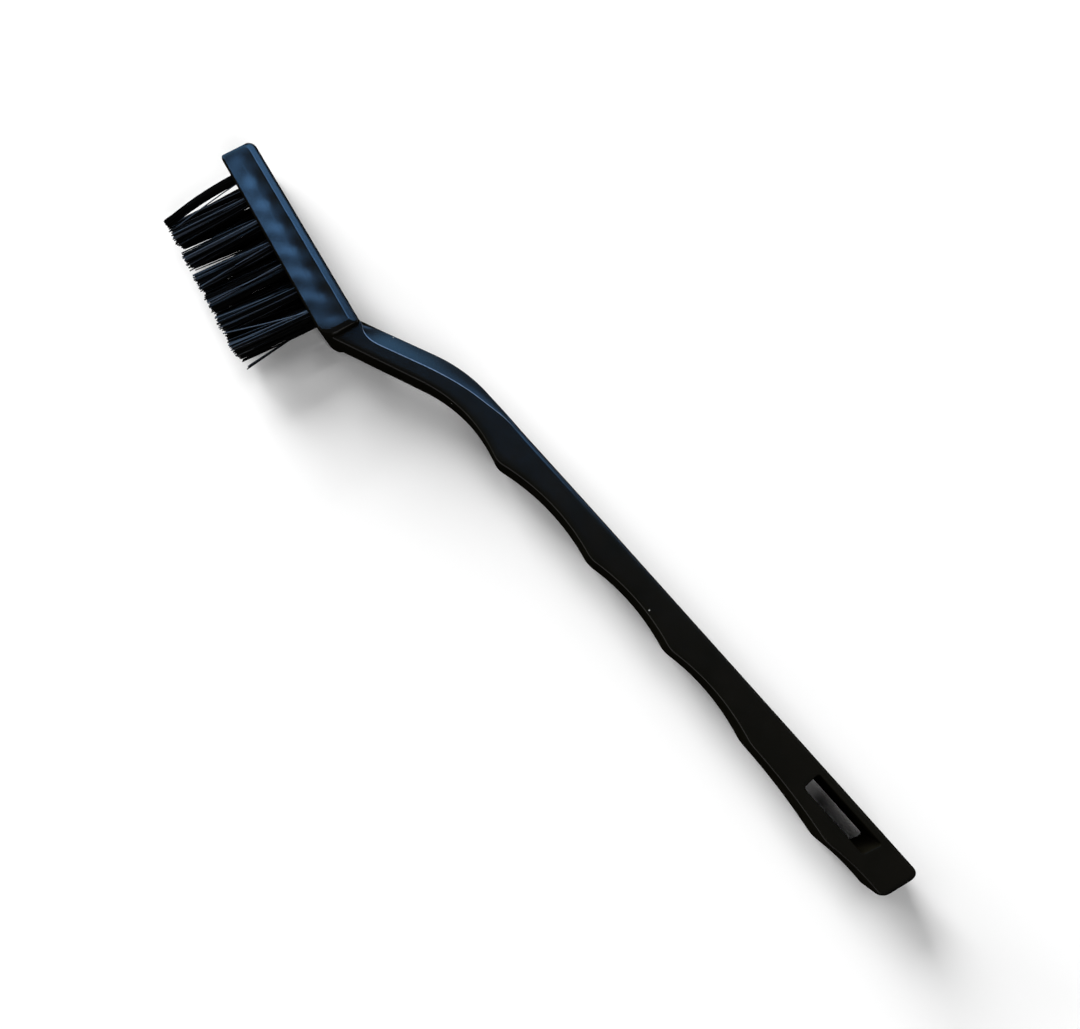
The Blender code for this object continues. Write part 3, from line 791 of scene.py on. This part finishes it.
def drawn_steel():
    """Flat steel wire with fine lines along its drawing direction."""
    finish = Finish("drawn_steel_wire")
    stretched = finish.node("ShaderNodeMapping", {"Vector": finish.place(),
                                                  "Rotation": (0.0, 0.0, BLOCK_ANGLE),
                                                  "Scale": (300.0, 6000.0, 6000.0)})
    lines = finish.noise(stretched.outputs["Vector"], 1.0, 3.0)
    finish.give("Base Color", finish.ramp(lines, (0.0, DARK_STEEL), (1.0, BRIGHT_STEEL)))
    finish.give("Normal", finish.bump(lines, 0.3, 0.01 * MM))
    finish.give("Metallic", 1.0)
    finish.give("Roughness", 0.35)
    return finish.material


def make_handle(plastic):
    handle = form("handle_moulding", build_grip)
    block = form("block_form", build_block)
    slot = form("slot_form", build_slot)
    holes = form("hole_form", build_holes)
    spaces = form("anchor_space_form", build_anchor_space)
    combined(handle, [(block, "UNION"), (slot, "DIFFERENCE"),
                      (holes, "DIFFERENCE"), (spaces, "DIFFERENCE")])
    soften_neck_joint(handle)
    mark_highlit_edges(handle)
    mark_matt_walls(handle)
    handle.data.materials.clear()
    handle.data.materials.append(plastic)
    handle.data.shade_smooth()
    handle.data.set_sharp_from_angle(angle=radians(30.0))
    return handle


# Bristles: a point at the bottom of each hole carries the habit of its tuft, and a
# node tree grows the strands out of the points

STRANDS = 46
STRAND_RADIUS = 0.115 * MM
STRAND_SIDES = 6
STRAND_BENDS = 9
STRAND_LENGTH = BRISTLE_LENGTH + HOLE_DEPTH - HOLE_CLEARANCE
TRIM_SPREAD = 0.33 * MM
TIP_DRIFT = 0.42 * MM
DRIFT_ACROSS = 0.6
BEND_POWER = 1.15
SPLAY_POWER = 0.6
STRAND_SEED = 7
# the lower rows b and c lie in shade: their strands get less gloss and less painted highlight
ROW_LIGHT_AND_SHINE = {"a": 1.0, "b": 0.8, "c": 0.6}

# A tuft's habit: the way that its tips lean along the block, how late its strands bend,
# how far it opens towards its tips, how full its hole is, its share of the trim's rise,
# its shine, which sets its gloss and painted highlight, and its number of strands
HABITS = ("lean", "bend", "open_along", "open_across", "fill", "rise", "shine", "count")

# Tufts near the tip that stay closed, and the further lean that sticks them to a neighbour
CLOSED_TUFTS = {"b2": 1.6 * MM, "b3": 1.8 * MM, "c2": -1.3 * MM, "c3": -1.5 * MM}

# Tufts at the ends of a row: a1 is arched, c1 and c7 are thin
END_TUFTS = {
    "a1": {"lean": 1.6 * MM, "bend": 2.15, "open_along": 0.8, "open_across": 1.0, "fill": 0.86,
           "rise": 0.0, "shine": 0.5},
    "c1": {"lean": 0.25 * MM, "open_along": 1.6, "open_across": 1.05, "fill": 0.6},
    "c7": {"open_along": 1.35, "fill": 0.8},
}

# Single strands that left their tuft: root along and across, lean of the tip, rise
STRAYS = (
    (-7.3 * MM, 2.9 * MM, -4.3 * MM, 0.6),
    (-37.5 * MM, 1.9 * MM, 2.6 * MM, 0.0),
    (-22.5 * MM, 3.0 * MM, 0.9 * MM, 0.3),
    (-17.9 * MM, 3.1 * MM, 0.6 * MM, 0.5),
    (-12.2 * MM, 3.1 * MM, -1.2 * MM, 0.8),
    (-7.6 * MM, -2.9 * MM, 1.4 * MM, 0.9),
    (-28.1 * MM, 3.0 * MM, -0.4 * MM, 0.2),
    (-7.4 * MM, -2.8 * MM, 1.3 * MM, 0.6),
    (-7.3 * MM, -2.6 * MM, 1.1 * MM, 0.8),
    (-7.5 * MM, -2.9 * MM, 1.2 * MM, 0.7),
)


def tuft_habit(name, along):
    """How one tuft stands and shines. They lean more and stand higher towards the neck."""
    near_neck = from_tip(along)
    habit = {"lean": NECK_TUFT_LEAN * near_neck ** 2, "bend": BEND_POWER, "open_along": 1.8,
             "open_across": 1.2, "fill": 1.07, "rise": near_neck, "shine": ROW_LIGHT_AND_SHINE[name[0]],
             "count": STRANDS}
    if name in CLOSED_TUFTS:
        habit.update(lean=habit["lean"] + CLOSED_TUFTS[name], open_along=0.98, open_across=1.1)
    habit.update(END_TUFTS.get(name, {}))
    return habit


def stray_habit(lean, rise):
    """A tuft of one strand, whose high shine gives it full gloss and the painted highlight."""
    return {"lean": lean, "bend": BEND_POWER, "open_along": 1.0, "open_across": 1.0,
            "fill": 0.01, "rise": rise, "shine": 2.0, "count": 1.0}


def hole_points():
    """One point at the bottom of each hole, with its tuft's habit as attributes."""
    roots = [(along, across, tuft_habit(name, along)) for name, along, across in tuft_places()]
    roots += [(along, across, stray_habit(lean, rise)) for along, across, lean, rise in STRAYS]
    mesh = bpy.data.meshes.new("tuft_holes")
    points = [block_point(along, ROOT_END, across) for along, across, habit in roots]
    mesh.from_pydata(points, [], [])
    for key in HABITS:
        attribute = mesh.attributes.new(key, "FLOAT", "POINT")
        for item, (along, across, habit) in zip(attribute.data, roots):
            item.value = habit[key]
    return add_to_scene("bristles", mesh)


class StrandNodes(Nodes):
    """The group of nodes that grows strands, with sizes that can be set by name."""

    def __init__(self, name):
        super().__init__(bpy.data.node_groups.new(name, "GeometryNodeTree"))
        face = self.tree.interface
        face.new_socket("Geometry", in_out="INPUT", socket_type="NodeSocketGeometry")
        face.new_socket("Geometry", in_out="OUTPUT", socket_type="NodeSocketGeometry")
        self.source = self.node("NodeGroupInput")

    def size(self, name, kind, value):
        socket = self.tree.interface.new_socket(name, in_out="INPUT", socket_type=kind)
        socket.default_value = value
        return self.source.outputs[name]

    def scaled(self, direction, amount):
        node = self.node("ShaderNodeVectorMath", {0: tuple(direction), "Scale": amount},
                         operation="SCALE")
        return node.outputs[0]

    def sum(self, *vectors):
        total = vectors[0]
        for vector in vectors[1:]:
            total = self.node("ShaderNodeVectorMath", {0: total, 1: vector}).outputs[0]
        return total

    def random(self, low, high, number, seed):
        node = self.node("FunctionNodeRandomValue", {2: low, 3: high, "ID": number, "Seed": seed},
                         data_type="FLOAT")
        return node.outputs[1]

    def store(self, geometry, name, value):
        node = self.node("GeometryNodeStoreNamedAttribute",
                         {"Geometry": geometry, "Name": name, "Value": value},
                         data_type="FLOAT", domain="POINT")
        return node.outputs[0]

    def stored(self, name):
        return self.node("GeometryNodeInputNamedAttribute", {"Name": name},
                         data_type="FLOAT").outputs[0]

    def from_hole(self, value, tuft, kind="FLOAT"):
        """A value read off the point of a tuft's hole."""
        holes = self.source.outputs["Geometry"]
        node = self.node("GeometryNodeSampleIndex", {"Geometry": holes, "Value": value, "Index": tuft},
                         data_type=kind, domain="POINT")
        return node.outputs[0]

    def finish(self, geometry):
        self.tree.links.new(geometry, self.node("NodeGroupOutput").inputs[0])
        return self.tree


def bristle_tree(nylon, tufts):
    tree = StrandNodes("bristle_strands")
    strands = tree.size("Strands in a tuft", "NodeSocketInt", STRANDS)
    length = tree.size("Strand length", "NodeSocketFloat", STRAND_LENGTH)
    radius = tree.size("Strand radius", "NodeSocketFloat", STRAND_RADIUS)
    reach = tree.size("Tuft radius", "NodeSocketFloat", HOLE_DIAMETER / 2 - HOLE_CLEARANCE)
    trim = tree.size("Trim spread", "NodeSocketFloat", TRIM_SPREAD)
    trim_rise = tree.size("Trim rise", "NodeSocketFloat", TRIM_RISE)
    drift = tree.size("Tip drift", "NodeSocketFloat", TIP_DRIFT)
    seed = tree.size("Seed", "NodeSocketInt", STRAND_SEED)
    seeds = [tree.math("ADD", seed, float(k)) for k in range(1, 5)]

    # every root counts its tuft and its strand, and takes the habit of its tuft
    index = tree.node("GeometryNodeInputIndex").outputs[0]
    total = tree.math("MULTIPLY", strands, float(tufts))
    tuft = tree.math("FLOOR", tree.math("DIVIDE", index, strands))
    strand = tree.math("SUBTRACT", index, tree.math("MULTIPLY", tuft, strands))
    hole = tree.from_hole(tree.node("GeometryNodeInputPosition").outputs[0], tuft, "FLOAT_VECTOR")
    habit = {key: tree.from_hole(tree.stored(key), tuft) for key in HABITS}

    # a sunflower layout packs the strands of one tuft into its round hole
    share = tree.math("DIVIDE", tree.math("ADD", strand, 0.5), strands)
    inner_reach = tree.math("MULTIPLY", tree.math("SUBTRACT", reach, radius), habit["fill"])
    out = tree.math("MULTIPLY", tree.math("SQRT", share), inner_reach)
    turn = tree.math("ADD", tree.math("MULTIPLY", strand, pi * (3.0 - sqrt(5.0))),
                     tree.random(0.0, 2 * pi, tuft, seed))
    root_along = tree.math("MULTIPLY", out, tree.math("COSINE", turn))
    root_across = tree.math("MULTIPLY", out, tree.math("SINE", turn))
    root = tree.sum(hole, tree.scaled(BLOCK_ALONG, root_along), tree.scaled(ACROSS, root_across))

    # length of a strand, and how far its tip travels
    own_length = tree.math("MULTIPLY_ADD", tree.random(-1.0, 1.0, index, seeds[0]), trim, length)
    own_length = tree.math("MULTIPLY_ADD", habit["rise"], trim_rise, own_length)
    drift_along = tree.math("MULTIPLY", tree.random(-1.0, 1.0, index, seeds[1]), drift)
    drift_across = tree.math("MULTIPLY", tree.random(-1.0, 1.0, index, seeds[2]), drift)
    tip_along = tree.math("ADD", habit["lean"], drift_along)
    splay_along = tree.math("MULTIPLY", root_along, tree.math("SUBTRACT", habit["open_along"], 1.0))
    splay_across = tree.math("MULTIPLY", root_across,
                             tree.math("SUBTRACT", habit["open_across"], 1.0))
    tip_across = tree.math("ADD", splay_across, tree.math("MULTIPLY", drift_across, DRIFT_ACROSS))

    # strands on the tip side of a tuft stand free and catch the window, by a fifth of the tone, which
    # gives them gloss and a painted highlight
    tip_side = tree.math("DIVIDE", root_along, tree.math("MULTIPLY", reach, -5.0))
    strand_tone = tree.math("ADD", tip_side, tree.random(0.0, 1.0, index, seeds[3]))
    strand_tone = tree.math("MULTIPLY", strand_tone, habit["shine"])

    roots = tree.node("GeometryNodePoints", {"Count": total, "Position": root}).outputs[0]
    for key, value in (("own_length", own_length), ("tip_along", tip_along),
                       ("splay_along", splay_along), ("tip_across", tip_across),
                       ("bend_power", habit["bend"]), ("strand_tone", strand_tone)):
        roots = tree.store(roots, key, value)
    line = tree.node("GeometryNodeCurvePrimitiveLine",
                     {"Start": (0.0, 0.0, 0.0), "End": tuple(BLOCK_DOWN)})
    bends = tree.node("GeometryNodeResampleCurve",
                      {"Curve": line.outputs[0], "Count": STRAND_BENDS})
    grown = tree.node("GeometryNodeInstanceOnPoints",
                      {"Points": roots, "Instance": bends.outputs[0],
                       "Selection": tree.math("LESS_THAN", strand, habit["count"])})
    strand_curves = tree.node("GeometryNodeRealizeInstances", {"Geometry": grown.outputs[0]})

    # the strands run straight down their hole and bend outside it
    factor = tree.node("GeometryNodeSplineParameter").outputs["Factor"]
    free_start = HOLE_DEPTH / (HOLE_DEPTH + BRISTLE_LENGTH)
    free = tree.ranged(factor, (free_start, 1.0), (0.0, 1.0))
    bend = tree.math("POWER", free, tree.stored("bend_power"))
    splay = tree.math("POWER", free, SPLAY_POWER)
    stretch = tree.math("SUBTRACT", tree.stored("own_length"), 1.0)
    offset = tree.sum(
        tree.scaled(BLOCK_DOWN, tree.math("MULTIPLY", factor, stretch)),
        tree.scaled(BLOCK_ALONG, tree.math("MULTIPLY", tree.stored("tip_along"), bend)),
        tree.scaled(BLOCK_ALONG, tree.math("MULTIPLY", tree.stored("splay_along"), splay)),
        tree.scaled(ACROSS, tree.math("MULTIPLY", tree.stored("tip_across"), bend)))
    shaped = tree.node("GeometryNodeSetPosition",
                       {"Geometry": strand_curves.outputs[0], "Offset": offset})
    profile = tree.node("GeometryNodeCurvePrimitiveCircle",
                        {"Resolution": STRAND_SIDES, "Radius": radius})
    skinned = tree.node("GeometryNodeCurveToMesh",
                        {"Curve": shaped.outputs[0], "Profile Curve": profile.outputs[0],
                         "Fill Caps": True})
    smooth = tree.node("GeometryNodeSetShadeSmooth", {"Geometry": skinned.outputs[0]})
    solid = tree.node("GeometryNodeRealizeInstances", {"Geometry": smooth.outputs[0]})
    dressed = tree.node("GeometryNodeSetMaterial",
                        {"Geometry": solid.outputs[0], "Material": nylon})
    return tree.finish(dressed.outputs[0])


def make_bristles(nylon):
    bristles = hole_points()
    modifier = bristles.modifiers.new("strands", "NODES")
    modifier.node_group = bristle_tree(nylon, len(bristles.data.vertices))
    settings = {"Strands in a tuft": STRANDS, "Seed": STRAND_SEED}
    for item in modifier.node_group.interface.items_tree:
        if item.name in settings:
            modifier[item.identifier] = settings[item.name]
    return baked(bristles)


# Table, lights and camera

CAMERA_FROM_BUTT = Vector((-65.876 * MM, -22.369 * MM, 154.8 * MM))
CAMERA_RIGHT = Vector((0.65701, 0.75378, -0.01248))
CAMERA_UP = Vector((-0.7426, 0.64994, 0.16163))
CAMERA_LENS = 29.0
SENSOR_WIDTH = 36.0

TABLE_HALF_SIZE = 3.0
WORLD_STRENGTH = 0.04

# Plain lamps, which light only what is matt: azimuth about +Z and height above the table
# in degrees, distance, width and height in metres, radiance
LAMPS = {
    "key_low": (179.0, 10.5, 7.0, (5.2, 1.47), 34.0),
    "key_high": (171.0, 25.0, 7.0, (3.0, 2.6), 18.0),
    "key_top": (203.0, 46.0, 5.0, (2.0, 2.0), 2.5),
    "fill": (115.0, 64.0, 3.0, (1.4, 1.4), 2.2),
    "counter": (351.0, 41.0, 5.0, (2.4, 1.6), 5.6),
}

# Windows, which show only in gloss: the same, and a cool tint
WINDOWS = {
    "window_low": (168.0, 24.0, 2.0, (2.5, 1.15), 3.0, (0.19, 0.53, 1.0)),
    "window_high": (136.0, 50.0, 2.0, (1.1, 0.7), 6.7, (0.19, 0.49, 1.0)),
    "window_side": (108.0, 9.0, 2.0, (1.2, 0.45), 3.4, (0.22, 0.50, 1.0)),
}


def aim_camera(butt):
    """The view of the photograph, set from the back corner of the butt at mid width."""
    data = bpy.data.cameras.new("camera")
    data.lens = CAMERA_LENS
    data.sensor_width = SENSOR_WIDTH
    data.clip_start = 0.005
    data.clip_end = 20.0
    camera = add_to_scene("camera", data)
    right = CAMERA_RIGHT.normalized()
    behind = right.cross(CAMERA_UP).normalized()
    up = behind.cross(right)
    turn = Matrix((right, up, behind)).transposed().to_4x4()
    camera.matrix_world = Matrix.Translation(butt + CAMERA_FROM_BUTT) @ turn
    bpy.context.scene.camera = camera


def soft_light(name, azimuth, height, distance, size, radiance, colour):
    """A far rectangular light that faces the brush."""
    data = bpy.data.lights.new(name, "AREA")
    data.shape = "RECTANGLE"
    data.size, data.size_y = size
    data.color = colour
    data.energy = radiance * pi * size[0] * size[1]
    lamp = add_to_scene(name, data)
    flat = cos(radians(height))
    direction = Vector((flat * cos(radians(azimuth)), flat * sin(radians(azimuth)),
                        sin(radians(height)))).normalized()
    lamp.location = direction * distance
    lamp.rotation_mode = "QUATERNION"
    lamp.rotation_quaternion = direction.to_track_quat("Z", "Y")
    return lamp


def light_studio():
    """Three keys beyond the tuft block, a fill, a counter light, and cool windows for gloss."""
    for name, lamp in LAMPS.items():
        soft_light(name, *lamp, WHITE[:3]).visible_glossy = False
    for name, window in WINDOWS.items():
        soft_light(name, *window).visible_diffuse = False


def white_table():
    bm = bmesh.new()
    bmesh.ops.create_grid(bm, x_segments=1, y_segments=1, size=TABLE_HALF_SIZE)
    mesh = bpy.data.meshes.new("table")
    bm.to_mesh(mesh)
    bm.free()
    table = add_to_scene("table", mesh)
    finish = Finish("white_table")
    finish.give("Base Color", WHITE)
    finish.give("Roughness", 1.0)
    finish.give("Specular IOR Level", 0.0)
    mesh.materials.append(finish.material)


def studio_world():
    world = bpy.data.worlds.new("studio")
    bpy.context.scene.world = world
    world.use_nodes = True
    sky = world.node_tree.nodes["Background"]
    sky.inputs["Color"].default_value = WHITE
    sky.inputs["Strength"].default_value = WORLD_STRENGTH


def main():
    plastic = moulded_plastic()
    nylon = black_nylon()
    steel = drawn_steel()

    handle = make_handle(plastic)
    bristles = make_bristles(nylon)

    # the back corner of the drawn butt goes to that of the CAD handle
    low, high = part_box("handle")
    middle = (low.z + high.z) / 2
    drawn_end = max(vertex.co.x for vertex in handle.data.vertices)
    drawn_back = max(vertex.co.y for vertex in handle.data.vertices)
    offset = Vector((high.x - drawn_end, high.y - drawn_back + PARTING_HEIGHT, middle))
    for piece in (handle, bristles):
        piece.data.transform(Matrix.Translation(offset))
        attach(piece, "root")
    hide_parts("handle")
    tuft_names = ["tuft_" + name for name, along, across in tuft_places()]
    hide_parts(*tuft_names)

    for name, along, across in tuft_places():
        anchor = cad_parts["anchor_" + name]
        anchor.data.materials.clear()
        anchor.data.materials.append(steel)

    white_table()
    studio_world()
    light_studio()
    aim_camera(Vector((high.x, high.y, middle)))
    bpy.context.scene.view_settings.view_transform = "Standard"


main()
